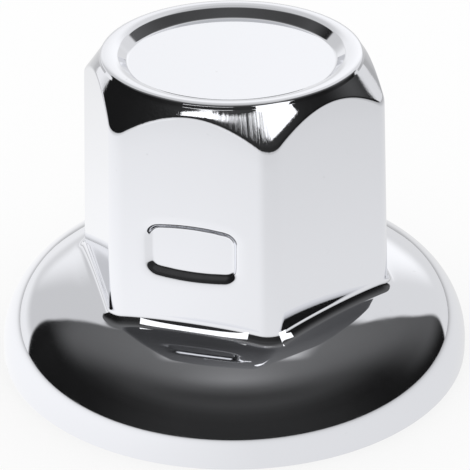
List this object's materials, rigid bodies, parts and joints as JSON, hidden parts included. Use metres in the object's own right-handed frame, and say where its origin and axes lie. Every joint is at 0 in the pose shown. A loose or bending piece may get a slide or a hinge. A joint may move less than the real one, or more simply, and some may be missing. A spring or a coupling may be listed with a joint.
{
  "type": "lug nut cover",
  "caption": "Push-on cover for a hexagon wheel nut: drafted hexagon body with pressed grip dents, beaded crown with a sunk disc, and a domed round flange, open underneath.",
  "frame": {"origin": "centre of the flange's rim, on the plane that the rim rests on", "axes": "+Z along the axis towards the crown, X through two opposite corners of the hexagon, a flat with a grip dent faces -Y"},
  "size_m": [0.0606, 0.0606, 0.0414],
  "materials": {
    "chrome": "bright chrome plate on polished pressed steel"
  },
  "bodies": {
    "root": {"nut_cover": "chrome"}
  },
  "joints": []
}
